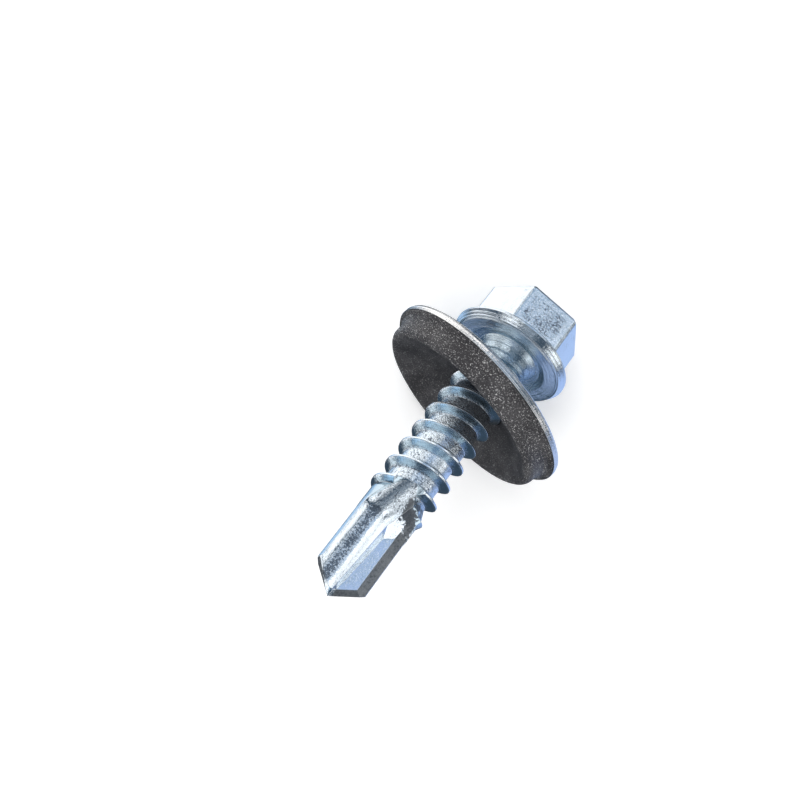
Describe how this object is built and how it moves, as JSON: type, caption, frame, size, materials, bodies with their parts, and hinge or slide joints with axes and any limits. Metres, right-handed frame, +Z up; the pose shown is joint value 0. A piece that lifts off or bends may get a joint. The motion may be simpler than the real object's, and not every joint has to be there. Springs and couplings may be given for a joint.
{
  "type": "self drilling screw",
  "caption": "Self drilling screw with hex flange head, coarse thread, fluted drill point and a sliding washer of steel and bonded rubber.",
  "frame": {"origin": "centre of the bounding box on the floor that the screw lies on", "axes": "+Z up; the screw's axis is parallel to the XZ plane, with the head at +X on the floor and the drill point raised"},
  "size_m": [0.0274, 0.0176, 0.0196],
  "materials": {
    "screw_steel": "bright zinc plate",
    "washer_steel": "bright zinc plate",
    "seal_rubber": "matt, with fine glitter"
  },
  "bodies": {
    "screw": {"screw": "screw_steel"},
    "washer": {"steel_washer": "washer_steel", "rubber_seal": "seal_rubber"}
  },
  "joints": [
    {"name": "washer_slide", "type": "slide", "parent": "screw", "child": "washer", "axis": [0.8464, 0, -0.5326], "range_m": [0, 0.0017]}
  ]
}
